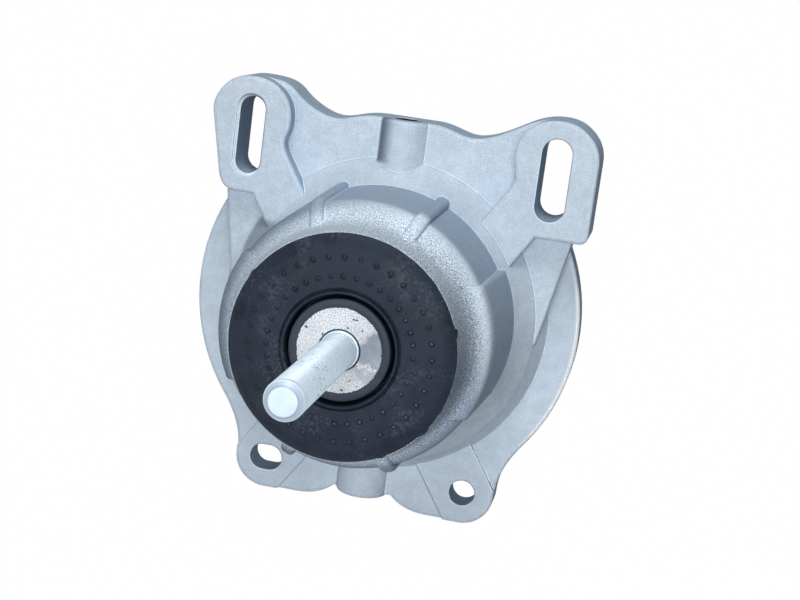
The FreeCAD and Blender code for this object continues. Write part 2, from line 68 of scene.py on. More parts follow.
BEVEL_SAMPLES = 6
# Edges leaning this way are painted pale as highlight, and those leaning away painted dark as shade
UPPER_RIGHT = (0.55, 0.83, 0.0)

# Limits on a noise pattern that make soft clouds or clear grains of it

SOFT = (0.3, 0.7)
CRISP = (0.38, 0.62)


def feed(tree, value, socket):
    """Links a socket, or sets a plain value."""
    if isinstance(value, bpy.types.NodeSocket):
        tree.links.new(value, socket)
    else:
        socket.default_value = value


def add_node(tree, kind, inputs=None, **settings):
    """Adds a node; each input is a socket to link or a value to set."""
    made = tree.nodes.new(kind)
    for key, value in settings.items():
        setattr(made, key, value)
    for key, value in (inputs or {}).items():
        feed(tree, value, made.inputs[key])
    return made


def eased(share):
    """The curve on which a step changes from 0 to 1."""
    return share * share * (3.0 - 2.0 * share)


class Shade:
    """A node material that is put together one step at a time."""

    def __init__(self, name, **fixed):
        """Fixed values go straight to the shader's sockets, with _ for the spaces in their names."""
        self.material = bpy.data.materials.new(name)
        self.material.use_nodes = True
        self.tree = self.material.node_tree
        self.shader = self.tree.nodes["Principled BSDF"]
        for socket, value in fixed.items():
            self.shader.inputs[socket.replace("_", " ")].default_value = value
        metres = self.node("ShaderNodeTexCoord").outputs["Object"]
        scaled = self.node("ShaderNodeVectorMath", {0: metres, "Scale": 1 / MM}, operation="SCALE")
        self.place = scaled.outputs[0]
        self.x, self.y, self.z = self.parts(self.place)
        self.radius = self.length(self.x, self.y)

    def node(self, kind, inputs=None, **settings):
        return add_node(self.tree, kind, inputs, **settings)

    def parts(self, vector):
        """The X, Y and Z sockets of a vector."""
        return self.node("ShaderNodeSeparateXYZ", {0: vector}).outputs

    def length(self, x, y):
        """Length of a flat vector."""
        flat = self.node("ShaderNodeCombineXYZ", {0: x, 1: y}).outputs[0]
        return self.node("ShaderNodeVectorMath", {0: flat}, operation="LENGTH").outputs["Value"]

    def normal(self):
        """The surface's own direction, without bump."""
        return self.node("ShaderNodeNewGeometry").outputs["Normal"]

    def upright(self):
        """How far the surface faces the front: 1 on the flats and 0 on upright walls."""
        return self.parts(self.normal())["Z"]

    def across(self):
        """How far the surface faces the right: 1 on walls that face it squarely."""
        return self.parts(self.normal())["X"]

    def turn(self):
        """Angle round the axis, 0 on the right, growing anticlockwise, in radians."""
        return self.math("ARCTAN2", self.y, self.x)

    def facing(self, degrees):
        """1 in one direction from the axis and -1 opposite to it."""
        return self.math("COSINE", self.math("SUBTRACT", self.turn(), math.radians(degrees)))

    def math(self, operation, a, b=0.0):
        return self.node("ShaderNodeMath", {0: a, 1: b}, operation=operation).outputs[0]

    def product(self, first, *others):
        """All the given values multiplied."""
        for other in others:
            first = self.math("MULTIPLY", first, other)
        return first

    def rest(self, share):
        """What a share leaves of 1."""
        return self.math("SUBTRACT", 1.0, share)

    def away(self, value, centre):
        """How far a value is from another, either way."""
        return self.math("ABSOLUTE", self.math("SUBTRACT", value, centre))

    def step(self, value, low, high, out_low=0.0, out_high=1.0):
        """Smooth change between two limits, the first of which may be the higher one."""
        inputs = {"Value": value, "From Min": low, "From Max": high, "To Min": out_low, "To Max": out_high}
        return self.node("ShaderNodeMapRange", inputs, interpolation_type="SMOOTHSTEP").outputs[0]

    def between(self, value, start, full, fade, end):
        """1 from full to fade, falling to 0 at start and at end."""
        return self.product(self.step(value, start, full), self.step(value, end, fade))

    def zone(self, limits):
        """1 inside limits on x, y, z or radius: two numbers fade in, and two more fade out again."""
        shares = []
        for axis, numbers in limits.items():
            fade = self.step if len(numbers) == 2 else self.between
            shares.append(fade(getattr(self, axis), *numbers))
        return self.product(*shares)

    def noise(self, size, detail=2.0, rough=0.5, at=None):
        """Cloudy pattern whose features are about that many millimetres wide."""
        inputs = {"Vector": at or self.place, "Scale": 1 / size, "Detail": detail, "Roughness": rough}
        return self.node("ShaderNodeTexNoise", inputs).outputs["Fac"]

    def ramp(self, value, *stops):
        """Colours by value: stops of value and colour."""
        made = self.node("ShaderNodeValToRGB", {0: value})
        stones = made.color_ramp.elements
        while len(stones) < len(stops):
            stones.new(0.5)
        for stone, (place, colour) in zip(stones, stops):
            stone.position = place
            stone.color = (*colour, 1.0)
        return made.outputs[0]

    def round_tone(self, stops):
        """Tones by direction from the axis: stops of degrees, anticlockwise from the right, and tone."""
        places = [(eased(0.5 + degrees / 360.0), tone) for degrees, tone in stops]
        return self.ramp(self.step(self.turn(), -math.pi, math.pi), *places)

    def grey(self, value):
        """Turns a number into a grey colour."""
        return self.node("ShaderNodeCombineColor", {0: value, 1: value, 2: value}).outputs[0]

    def mix(self, share, a, b, blend="MIX"):
        made = self.node("ShaderNodeMix", {0: share}, data_type="RGBA", blend_type=blend)
        for value, socket in ((a, made.inputs[6]), (b, made.inputs[7])):
            feed(self.tree, value if isinstance(value, bpy.types.NodeSocket) else (*value, 1.0), socket)
        return made.outputs[2]

    def times(self, base, tone):
        """Multiplies a colour by another."""
        return self.mix(1.0, base, tone, "MULTIPLY")

    def paint(self, base, colour, *shares):
        """Lays a colour over the base by the product of the shares."""
        return self.mix(self.product(*shares), base, colour)

    def colour(self, value):
        feed(self.tree, value, self.shader.inputs["Base Color"])

    def roughness(self, value):
        feed(self.tree, value, self.shader.inputs["Roughness"])

    def bump(self, height, depth):
        """Relief of the given depth, stacked on any relief made before."""
        made = self.node("ShaderNodeBump", {"Height": height, "Distance": depth * MM})
        socket = self.shader.inputs["Normal"]
        if socket.is_linked:
            feed(self.tree, socket.links[0].from_socket, made.inputs["Normal"])
        feed(self.tree, made.outputs[0], socket)

    def rounded(self, radius):
        """Softens sharp edges in the shading; gives how far they lean to the upper right."""
        soft = self.node("ShaderNodeBevel", {"Radius": radius * MM}, samples=BEVEL_SAMPLES).outputs[0]
        feed(self.tree, soft, self.shader.inputs["Normal"])
        change = self.node("ShaderNodeVectorMath", {0: soft, 1: self.normal()}, operation="SUBTRACT")
        both = {0: change.outputs[0], 1: UPPER_RIGHT}
        lean = self.node("ShaderNodeVectorMath", both, operation="DOT_PRODUCT")
        return lean.outputs["Value"]


def plain(tone):
    return (tone, tone, tone)


def shaded_tone(tone):
    """A painted shade, bluer than the lit metal."""
    return (0.93 * tone, 0.98 * tone, 1.07 * tone)


# Cast alloy of the housing

ALLOY_CLOUDS = ((0.3, (0.60, 0.71, 0.83)), (0.7, (0.67, 0.78, 0.89)))
# Painted highlight and painted shade on the casting's edges, by how far they lean to the upper right
EDGE_SOFTNESS = 0.6
EDGE_LEAN = (-0.22, 0.22)
EDGE_LIGHT_AND_SHADE_TONES = (0.34, 1.62)
BELOW_MOUTH = {"z": (75.5, 73.0)}

# Painted shade on upright walls, lighter on the flare's foot
WALL_SHADE_COLOUR = (0.42, 0.53, 0.66)
WALL_LEAN = (0.60, 0.05)
FLARE_FOOT = {"radius": (55.5, 56.5, 61.0, 62.0), "z": (15.5, 14.5)}
FLARE_FOOT_LIGHT = 0.6

LIP = {"z": (54.0, 60.0), "radius": (46.5, 45.0)}
INNER_LIP = {"radius": (43.6, 39.6)}
ALLOY_ROUGHNESS = (0.40, 0.50)
GRAIN_SIZE = 0.38
FLAT_GRAIN = (0.885, 1.10)
FLAT_CLOUDS = (0.955, 1.045)
OUTER_SPECKLE = (0.76, 1.20)
LEFT_SPECKLE = (0.66, 1.24)
RIGHT_SPECKLE = (0.44, 1.46)
FROM_LEFT_TO_RIGHT = (-0.2, 0.7)
FLAT_RELIEF = 0.5
LIP_RELIEF = 2.0

# Light and shade painted round the lip by direction, on its inner and its outer part
INNER_LIP_LIGHT_AND_SHADE = (
    (-180.0, plain(1.2)),
    (-70.0, plain(1.0)),
    (-34.5, shaded_tone(0.90)),
    (-8.5, shaded_tone(0.56)),
    (13.5, plain(0.68)),
    (32.5, plain(0.84)),
    (50.5, plain(1.08)),
    (82.5, plain(1.2)),
    (180.0, plain(1.2)),
)
OUTER_LIP_LIGHT_AND_SHADE = (
    (-180.0, shaded_tone(0.38)),
    (-62.5, shaded_tone(0.60)),
    (-19.5, shaded_tone(0.66)),
    (0.0, plain(0.96)),
    (13.5, plain(1.17)),
    (76.5, plain(1.24)),
    (95.5, plain(1.0)),
    (122.0, shaded_tone(0.56)),
    (180.0, shaded_tone(0.38)),
)
# Painted shade along the lip's left edge
LEFT_EDGE_SHADE_TONE = (0.40, 0.44, 0.48)
LEFT_EDGE_DIRECTION = 175.0
LEFT_EDGE_SPAN = (0.3, 0.9)
LEFT_EDGE = {"radius": (37.6, 40.4)}
LEFT_EDGE_SHARE = 0.5
# Painted shade on the lip's inner part, next to the rubber
MOUTH_SHADE_COLOUR = (0.26, 0.28, 0.31)
MOUTH = {"radius": (39.5, 36.6)}
MOUTH_SHARE = 0.30

# Painted shadow on the dome's foot below the left lug, next to the lip
LEFT_FOOT_SHADOW_COLOUR = (0.16, 0.20, 0.26)
LEFT_FOOT_SHADOW = {"radius": (54.5, 52.5), "x": (-37.0, -41.0), "y": (8.0, 16.0, 25.0, 27.5), "z": (30.0, 24.0)}
LEFT_FOOT_SHADOW_SHARE = 0.55
LIT_WALL_COLOUR = (0.95, 0.98, 1.0)
LIT_WALL = {
    "radius": (58.8, 59.3, 71.0, 72.0),
    "x": (28.0, 32.0),
    "y": (-30.0, -34.0),
    "z": (8.6, 8.8, 10.3, 10.5),
}
LIT_WALL_LEAN = (0.3, 0.6)
# Painted highlight on the flange's outer rim at the right
RIM_HIGHLIGHT_COLOUR = (0.92, 0.97, 1.0)
RIM = {"radius": (66.2, 67.3)}
RIM_DIRECTION = -8.0
RIM_SPAN = (0.84, 0.94)
RIM_LEAN = (0.3, 0.8)
STAIN_COLOUR = (0.36, 0.43, 0.52)
STAINED = (0.60, 0.78)
STAIN_SHARE = 0.20
# Painted shade on the left flank of the upper boss
BOSS_FLANK_SHADE_COLOUR = (0.13, 0.16, 0.22)
BOSS_FLANK = {"x": (-8.5, -8.3, -7.4, -2.4), "y": (50.8, 52.6), "z": (15.05, 15.4)}
BOSS_FLANK_SHARE = 0.85
# Painted shade inside the filling hole
FILL_HOLE_SHADE_COLOUR = (0.02, 0.025, 0.03)
FILL_HOLE_X = -0.4
FILL_HOLE_Z = 10.7
FILL_HOLE_RADII = (4.75, 4.62)
FILL_HOLE_DEPTH = {"y": (60.0, 61.0, 66.3, 66.6)}


def wall_shade_share(s, lip):
    """Share of the painted shade on walls: 1 on upright walls, less on the flare's foot and none on the lip.
    """
    foot = s.product(s.zone(FLARE_FOOT), FLARE_FOOT_LIGHT)
    return s.product(s.step(s.upright(), *WALL_LEAN), s.rest(lip), s.rest(foot))


def alloy_grain(s, grain, lip, inner):
    """Faint grain on the flats, and speckle on the lip, strongest at the right of its mouth."""
    clouds = s.noise(3.4, detail=3.0, rough=0.55)
    flat = s.product(s.step(grain, *SOFT, *FLAT_GRAIN), s.step(clouds, *SOFT, *FLAT_CLOUDS))
    left, right, outer = (
        s.grey(s.step(grain, *CRISP, *tones)) for tones in (LEFT_SPECKLE, RIGHT_SPECKLE, OUTER_SPECKLE)
    )
    mouth = s.mix(s.step(s.facing(0.0), *FROM_LEFT_TO_RIGHT), left, right)
    return s.mix(lip, s.grey(flat), s.mix(inner, outer, mouth))


def painted_lip_light(s, inner):
    """Painted light and shade round the lip by direction, with painted shade along its left edge."""
    tone = s.mix(inner, s.round_tone(OUTER_LIP_LIGHT_AND_SHADE), s.round_tone(INNER_LIP_LIGHT_AND_SHADE))
    left = s.step(s.facing(LEFT_EDGE_DIRECTION), *LEFT_EDGE_SPAN)
    return s.paint(tone, LEFT_EDGE_SHADE_TONE, left, s.zone(LEFT_EDGE), LEFT_EDGE_SHARE)


def fill_hole(s):
    """1 inside the mouth of the filling hole in the upper boss, which is painted dark as shade."""
    away = s.length(s.math("SUBTRACT", s.x, FILL_HOLE_X), s.math("SUBTRACT", s.z, FILL_HOLE_Z))
    return s.product(s.step(away, *FILL_HOLE_RADII), s.zone(FILL_HOLE_DEPTH))


def cast_alloy():
    """Blasted casting: smooth flats, speckled lip, upright walls darkened as painted shade, painted light
    and shade round the lip, edges pale or dark by their lean as painted highlight and shade, and single
    painted shadows and highlights.
    """
    s = Shade("cast_alloy", Metallic=0.03, Specular_IOR_Level=0.0)
    lean = s.rounded(EDGE_SOFTNESS)
    grain = s.noise(GRAIN_SIZE, detail=1.5, rough=0.6)
    lip = s.zone(LIP)
    inner = s.zone(INNER_LIP)
    base = s.ramp(s.noise(16.0, detail=3.0), *ALLOY_CLOUDS)
    base = s.paint(base, WALL_SHADE_COLOUR, wall_shade_share(s, lip))
    base = s.times(base, alloy_grain(s, grain, lip, inner))
    base = s.mix(lip, base, s.times(base, painted_lip_light(s, inner)))
    base = s.paint(base, MOUTH_SHADE_COLOUR, lip, s.zone(MOUTH), MOUTH_SHARE)
    base = s.paint(base, LEFT_FOOT_SHADOW_COLOUR, s.zone(LEFT_FOOT_SHADOW), LEFT_FOOT_SHADOW_SHARE)
    base = s.paint(base, LIT_WALL_COLOUR, s.zone(LIT_WALL), s.step(s.across(), *LIT_WALL_LEAN))
    rim = s.product(s.zone(RIM), s.step(s.facing(RIM_DIRECTION), *RIM_SPAN))
    base = s.paint(base, RIM_HIGHLIGHT_COLOUR, rim, s.step(s.upright(), *RIM_LEAN))
    stain = s.step(s.noise(5.0, detail=4.0, rough=0.6), *STAINED)
    base = s.paint(base, STAIN_COLOUR, stain, STAIN_SHARE)
    base = s.paint(base, BOSS_FLANK_SHADE_COLOUR, s.zone(BOSS_FLANK), BOSS_FLANK_SHARE)
    base = s.paint(base, FILL_HOLE_SHADE_COLOUR, fill_hole(s))
    # Painted highlight and shade on edges by their lean
    edge = s.product(lean, s.zone(BELOW_MOUTH))
    s.colour(s.times(base, s.grey(s.step(edge, *EDGE_LEAN, *EDGE_LIGHT_AND_SHADE_TONES))))
    s.roughness(s.step(s.noise(7.0, detail=3.0), *SOFT, *ALLOY_ROUGHNESS))
    s.bump(s.noise(2.6, detail=3.0), depth=0.04)
    s.bump(s.product(grain, s.math("ADD", s.product(lip, LIP_RELIEF), FLAT_RELIEF)), depth=0.035)
    return s.material


# Rubber

RUBBER_CLOUDS = ((0.35, (0.009, 0.014, 0.027)), (0.72, (0.026, 0.037, 0.060)))
RUBBER_ROUGHNESS = (0.40, 0.58)
SMUDGE_COLOUR = (0.12, 0.15, 0.20)
SMUDGE_PATCHES = (0.50, 0.66)
SMUDGE_GRAIN = (0.42, 0.70)
SMUDGE_SHARE = 0.45
COLLAR_COLOUR = (0.085, 0.105, 0.135)
COLLAR = {"radius": (16.2, 16.0), "z": (79.0, 80.0)}
COLLAR_SHARE = 0.45
DUST_COLOUR = (0.27, 0.31, 0.37)
DUSTY = (0.69, 0.74)
DUST_SHARE = 0.7

DOTTED_FACE = {"z": (78.0, 79.0)}
DOT_WEAR_LIMITS = (0.36, 0.62)
DOT_WEAR_TONES = (0.15, 1.0)
# Painted shade round the dots' feet, and a painted highlight on their tops towards the lower right
DOT_FOOT_SHADE_COLOUR = (0.006, 0.009, 0.015)
DOT_FOOT_RADII = (0.25, 0.60, 0.80, 1.15)
DOT_FOOT_SHARE = 0.75
DOT_TOP_HIGHLIGHT_COLOUR = (0.16, 0.19, 0.24)
DOT_TOP_RADII = (0.55, 0.20)
DOT_TOP_DIRECTION = -35.0
DOT_TOP_SPAN = (-0.3, 0.6)
DOT_TOP_SHARES = (0.05, 0.55)


def dot_shade_and_highlight(s, base, ring):
    """Painted shade round the foot of each dot of one ring, and a painted highlight on the tops on the lower
    right.
    """
    share = s.math("MULTIPLY", s.math("SUBTRACT", s.turn(), DOT_PHASE), DOT_COUNT / math.tau)
    off = s.math("SUBTRACT", share, s.math("ROUND", share))
    away = s.length(s.math("MULTIPLY", off, math.tau / DOT_COUNT * ring), s.math("SUBTRACT", s.radius, ring))
    wear = s.step(s.noise(2.8, detail=1.0), *DOT_WEAR_LIMITS, *DOT_WEAR_TONES)
    level = s.product(s.zone(DOTTED_FACE), wear)
    base = s.paint(base, DOT_FOOT_SHADE_COLOUR, s.between(away, *DOT_FOOT_RADII), level, DOT_FOOT_SHARE)
    pale = s.step(s.facing(DOT_TOP_DIRECTION), *DOT_TOP_SPAN, *DOT_TOP_SHARES)
    return s.paint(base, DOT_TOP_HIGHLIGHT_COLOUR, s.step(away, *DOT_TOP_RADII), level, pale)


def spring_rubber():
    """Blue-black rubber with pale smudges and dust, and painted shade and highlights on its dots."""
    s = Shade("spring_rubber", Metallic=0.0, Specular_IOR_Level=0.16)
    cloud = s.noise(9.0, detail=5.0, rough=0.62)
    base = s.ramp(cloud, *RUBBER_CLOUDS)
    patches = s.step(s.noise(13.0), *SMUDGE_PATCHES)
    smudges = s.step(s.noise(1.1, detail=4.0, rough=0.7), *SMUDGE_GRAIN)
    base = s.paint(base, SMUDGE_COLOUR, patches, smudges, SMUDGE_SHARE)
    base = s.paint(base, COLLAR_COLOUR, s.zone(COLLAR), COLLAR_SHARE)
    for ring in DOT_RINGS:
        base = dot_shade_and_highlight(s, base, ring)
    dust = s.step(s.noise(0.42, rough=0.8), *DUSTY)
    s.colour(s.paint(base, DUST_COLOUR, dust, DUST_SHARE))
    s.roughness(s.step(cloud, *SOFT, *RUBBER_ROUGHNESS))
    s.bump(s.noise(3.5, detail=4.0), depth=0.10)
    s.bump(s.noise(1.0, detail=3.0, rough=0.7), depth=0.05)
    return s.material


# Core's face; angles are in radians, anticlockwise from the right

CORE_CLOUDS = ((0.3, (0.78, 0.81, 0.86)), (0.7, (0.90, 0.92, 0.97)))
CORE_ROUGHNESS = (0.45, 0.62)
CORE_WANDER = (-0.12, 0.12)
SMOOTH_COLOUR = (0.32, 0.37, 0.45)
SMOOTH_SECTOR = (-0.42, -0.26, 0.40, 0.66)
SMOOTH_SHARES = (1.0, 0.75)
SMOOTH_RELIEF = (1.0, 0.2)
ROUGH_GRAIN = (0.66, 1.20)
SMOOTH_GRAIN = (0.86, 1.14)
SECTOR_EDGE_COLOUR = (0.72, 0.75, 0.79)
SECTOR_MIDDLE = 0.10
SECTOR_REACH = 0.42
SECTOR_EDGE_WIDTH = 0.05
SECTOR_EDGE_SHARE = 0.45
SHADOW_COLOUR = (0.24, 0.28, 0.34)
SHADOW_SECTOR = (-1.0, -0.65, -0.60, -0.45)
SHADOW_SHARE = 0.45
PIT_COLOUR = (0.06, 0.06, 0.07)
PITTED = (0.69, 0.73)
# Painted shade in the gap round the stud, at the bore's mouth
BORE_SHADE_COLOUR = (0.02, 0.025, 0.03)
BORE = {"radius": (6.95, 6.65)}


def core_alloy():
    """Rough cast core face with pits, a smoother, greyer sector, a painted shadow and painted shade at the
    bore's mouth.
    """
    s = Shade("core_alloy", Metallic=0.08, Specular_IOR_Level=0.1)
    turn = s.math("ADD", s.turn(), s.step(s.noise(4.0), *SOFT, *CORE_WANDER))
    smooth = s.between(turn, *SMOOTH_SECTOR)
    cloud = s.noise(4.0, detail=3.0)
    grain = s.noise(0.40, detail=1.5, rough=0.6)
    base = s.ramp(cloud, *CORE_CLOUDS)
    base = s.paint(base, SMOOTH_COLOUR, smooth, s.step(cloud, *SOFT, *SMOOTH_SHARES))
    rough_tone = s.grey(s.step(grain, *CRISP, *ROUGH_GRAIN))
    smooth_tone = s.grey(s.step(grain, *SOFT, *SMOOTH_GRAIN))
    base = s.times(base, s.mix(smooth, rough_tone, smooth_tone))
    rim = s.step(s.away(s.away(turn, SECTOR_MIDDLE), SECTOR_REACH), SECTOR_EDGE_WIDTH, 0.0)
    base = s.paint(base, SECTOR_EDGE_COLOUR, rim, SECTOR_EDGE_SHARE)
    base = s.paint(base, SHADOW_COLOUR, s.between(turn, *SHADOW_SECTOR), SHADOW_SHARE)
    base = s.paint(base, PIT_COLOUR, s.step(s.noise(1.6, detail=1.0), *PITTED))
    s.colour(s.paint(base, BORE_SHADE_COLOUR, s.zone(BORE)))
    s.roughness(s.step(grain, *SOFT, *CORE_ROUGHNESS))
    s.bump(s.product(grain, s.step(smooth, 0.0, 1.0, *SMOOTH_RELIEF)), depth=0.05)
    return s.material


# Zinc plating of the stud

PLATING_CLOUDS = ((0.3, (0.67, 0.81, 0.95)), (0.65, (0.79, 0.91, 1.0)))
PLATING_ROUGHNESS = (0.42, 0.54)
STUD_END = {"z": (146.0, 146.4)}
END_BEVEL_COLOUR = (0.52, 0.62, 0.75)
END_FACE_COLOUR = (0.56, 0.67, 0.80)
END_FACE = {"radius": (4.4, 4.1)}
END_EXTRA_ROUGHNESS = 0.15
END_RING_COLOUR = (0.20, 0.25, 0.33)
END_RING = {"radius": (4.0, 4.25, 4.5, 4.9)}
END_RING_SHARE = 0.40
# Painted shade on the thread's flanks, strongest towards 20 degrees and low on the stud
ROOT_SHADE_COLOUR = (0.10, 0.15, 0.22)
ROOT = {"radius": (5.82, 5.60), "z": (146.2, 145.4)}
ROOT_DIRECTION = 20.0
ROOT_SPAN = (-0.6, 0.9)
ROOT_SHARES = (0.15, 1.0)
ROOT_FADE_HEIGHTS = (90.0, 130.0)
ROOT_FADE_SHARES = (0.92, 0.50)
MARK_COLOUR = (0.10, 0.12, 0.15)
MARK_STRETCH = 3.0
MARKED = {"z": (104.0, 116.0, 128.0, 140.0)}
MARK_LIMITS = (0.76, 0.645)
MARK_SHARE = 0.75


def plated_steel():
    """Bright plating with short dark marks, painted shade on the thread flanks, strongest on one side and
    low down, and a satin end.
    """
    s = Shade("plated_steel", Metallic=0.6, Specular_IOR_Level=0.0)
    cloud = s.noise(3.0, detail=4.0, rough=0.6)
    end = s.zone(STUD_END)
    base = s.ramp(cloud, *PLATING_CLOUDS)
    base = s.paint(base, s.mix(s.zone(END_FACE), END_BEVEL_COLOUR, END_FACE_COLOUR), end)
    base = s.paint(base, END_RING_COLOUR, s.zone(END_RING), end, END_RING_SHARE)
    root = s.product(s.zone(ROOT), s.step(s.facing(ROOT_DIRECTION), *ROOT_SPAN, *ROOT_SHARES))
    base = s.paint(base, ROOT_SHADE_COLOUR, root, s.step(s.z, *ROOT_FADE_HEIGHTS, *ROOT_FADE_SHARES))
    turned = s.node("ShaderNodeCombineXYZ", {0: s.x, 1: s.y, 2: s.product(s.z, MARK_STRETCH)}).outputs[0]
    limit = s.step(s.zone(MARKED), 0.0, 1.0, *MARK_LIMITS)
    mark = s.math("GREATER_THAN", s.noise(1.5, rough=0.6, at=turned), limit)
    s.colour(s.paint(base, MARK_COLOUR, mark, MARK_SHARE))
    s.roughness(s.math("ADD", s.step(cloud, *SOFT, *PLATING_ROUGHNESS), s.product(end, END_EXTRA_ROUGHNESS)))
    s.bump(s.noise(0.6, detail=3.0), depth=0.015)
    return s.material


# Small parts

STEEL_CLOUDS = ((0.3, (0.34, 0.36, 0.39)), (0.7, (0.50, 0.52, 0.55)))
STEEL_ROUGHNESS = (0.30, 0.46)
PLASTIC_CLOUDS = ((0.3, (0.022, 0.022, 0.024)), (0.7, (0.040, 0.040, 0.044)))
PLASTIC_ROUGHNESS = (0.40, 0.52)


def pressed_steel():
    """Dull pressed sheet with faint clouds."""
    s = Shade("pressed_steel", Metallic=0.85)
    s.colour(s.ramp(s.noise(8.0, detail=4.0), *STEEL_CLOUDS))
    s.roughness(s.step(s.noise(1.5, detail=3.0), *SOFT, *STEEL_ROUGHNESS))
    s.bump(s.noise(1.2, detail=3.0), depth=0.02)
    return s.material


def moulded_plastic():
    """Black moulded plastic with a fine skin."""
    s = Shade("moulded_plastic", Metallic=0.0)
    s.colour(s.ramp(s.noise(6.0, detail=3.0), *PLASTIC_CLOUDS))
    s.roughness(s.step(s.noise(2.0), *SOFT, *PLASTIC_ROUGHNESS))
    s.bump(s.noise(0.8), depth=0.02)
    return s.material


MATERIAL_USERS = (
    (cast_alloy, ("housing",)),
    (core_alloy, ("core",)),
    (plated_steel, ("stud",)),
    (pressed_steel, ("filling_plug", "bottom_cover", "retaining_ring")),
    (moulded_plastic, ("upper_channel_plate", "lower_channel_plate")),
    (spring_rubber, ("rubber_spring", "decoupler", "seal_ring", "diaphragm")),
)
materials = {}
for make, users in MATERIAL_USERS:
    material = make()
    for user in users:
        materials[user] = material
for name, piece in nodes.items():
    piece.data.materials.clear()
    piece.data.materials.append(materials[name])


# Meshes made here


def grid_mesh(name, rows, closed_rows, material):
    """Mesh from rings of points; each ring is closed, and the rows close too if asked."""
    count = len(rows[0])
    points = [p for row in rows for p in row]
    last = len(rows) if closed_rows else len(rows) - 1
    faces = []
    for i in range(last):
        for j in range(count):
            k = (j + 1) % count
            below, above = i * count, (i + 1) % len(rows) * count
            faces.append((below + j, below + k, above + k, above + j))
    mesh = bpy.data.meshes.new(name)
    mesh.from_pydata([tuple(c * MM for c in p) for p in points], [], faces)
    mesh.materials.append(material)
    mesh.polygons.foreach_set("use_smooth", [True] * len(mesh.polygons))
    made = bpy.data.objects.new(name, mesh)
    bpy.context.scene.collection.objects.link(made)
    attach(made, "root")
    return made


# Rubber spring with its dots, grooves, ring and flash

TURN_STEPS = 720
SEED = 7
DOT_RADIUS = 0.95
DOT_HEIGHT = 0.75
DOT_HEIGHT_SHARES = (0.45, 1.0)
DOT_ROUNDNESS = 1.1
dice = random.Random(SEED)
dot_heights = {}
for ring in DOT_RINGS:
    for number in range(DOT_COUNT):
        dot_heights[ring, number] = DOT_HEIGHT * dice.uniform(*DOT_HEIGHT_SHARES)


def dot_rise(radius, angle):
    """Height of the moulded dots above the face."""
    for ring in DOT_RINGS:
        across = radius - ring
        if abs(across) < DOT_RADIUS:
            number = round((angle - DOT_PHASE) / math.tau * DOT_COUNT)
            along = (angle - DOT_PHASE - number * math.tau / DOT_COUNT) * ring
            away = math.hypot(across, along) / DOT_RADIUS
            if away < 1.0:
                return dot_heights[ring, number % DOT_COUNT] * (1 - away * away) ** DOT_ROUNDNESS
    return 0.0


def wander(angle, size, seed):
    """Smooth irregular value round the axis, about -1 to 1."""
    return noise.noise(Vector((math.cos(angle) * size, math.sin(angle) * size, seed)))


# Each wave has a height, and its wander's size and seed; each spike a direction, half width and height

FLASH_START = math.radians(-36.0)
FLASH_END = math.radians(19.0)
FLASH_REACH = 0.36
PLAIN_REACH = 0.10
FLASH_WAVES = ((0.12, 9.0, 3.0), (0.08, 30.0, 5.0))
FLASH_SPIKES = ((-37.0, 4.0, 0.7), (18.0, 4.0, 0.6), (-62.0, 3.0, 0.5), (148.0, 3.0, 0.5))


def flash_reach(angle):
    """How far the thin flash runs out over the housing's lip."""
    signed = (angle + math.pi) % math.tau - math.pi
    reach = FLASH_REACH if FLASH_START < signed < FLASH_END else PLAIN_REACH
    for height, size, seed in FLASH_WAVES:
        reach += height * max(0.0, wander(angle, size, seed))
    for centre, width, height in FLASH_SPIKES:
        away = (math.degrees(angle) - centre + 180.0) % 360.0 - 180.0
        reach += height * max(0.0, 1.0 - abs(away) / width)
    return reach


CORE_RADIUS = 13.7
SKIN_FOOT = 80.44
SKIN_TOP = 80.5
SKIN_REACH = 0.22
SKIN_WAVES = ((0.18, 4.0, 1.0), (0.14, 16.0, 2.0), (0.20, 50.0, 4.0))
SKIN_SLOPE = 0.7
FACE_TOP = 80.22
FACE_INNER_EDGE = 19.7
FACE_START = 20.0
FACE_END = 32.5
FACE_STEP = 0.21
SAG_START = 22.0
SAG = 0.0065
FLASH_RADIUS = 36.2
FLASH_TOP = 77.72
FLASH_TOP_SHARE = 0.6
FLASH_TOP_SLOPE = 0.30
FLASH_TIP = 77.58
FLASH_TIP_SLOPE = 0.48

# Outlines of the rubber as radius and height, from the core's face out over the front and back underneath

COLLAR_PROFILE = [(13.7, 80.5), (14.1, 80.6), (14.8, 80.62), (15.6, 80.55), (16.05, 80.35), (16.25, 79.9)]
GROOVE_PROFILE = [(16.33, 78.2), (16.36, 75.0), (16.4, 71.2), (16.8, 71.0), (17.1, 71.0), (17.4, 71.3)]
RING_PROFILE = [(17.46, 76.0), (17.48, 79.5), (17.56, 80.4), (17.78, 80.76), (18.1, 80.86), (18.42, 80.78)]
SMALL_GROOVE_PROFILE = [(18.58, 80.4), (18.7, 79.6), (18.9, 79.2), (19.12, 79.6), (19.32, 80.2)]
FACE_EDGE_PROFILE = [(33.2, 79.25), (34.2, 78.95), (35.0, 78.55), (35.6, 78.15), (36.0, 77.85)]
NECK_PROFILE = [(36.1, 77.2), (34.0, 72.2), (33.1, 70.0), (35.9, 63.5), (38.9, 56.7)]
BODY_PROFILE = [(39.7, 43.0), (40.4, 29.0)]
ARCH_PROFILE = [(36.0, 35.5), (31.0, 41.5), (25.0, 45.6), (18.0, 46.4), (13.0, 45.0), (10.0, 44.0)]
CORE_SIDE_PROFILE = [(11.8, 53.0), (CORE_RADIUS, 62.0), (CORE_RADIUS, 71.0), (CORE_RADIUS, 80.2)]


def face_profile():
    """Flat face that sags a little towards the rubber's edge."""
    points = [(FACE_INNER_EDGE, FACE_TOP)]
    for n in range(math.ceil((FACE_END - FACE_START) / FACE_STEP)):
        radius = FACE_START + n * FACE_STEP
        points.append((radius, FACE_TOP - SAG * max(0.0, radius - SAG_START) ** 2.0))
    return points + FACE_EDGE_PROFILE


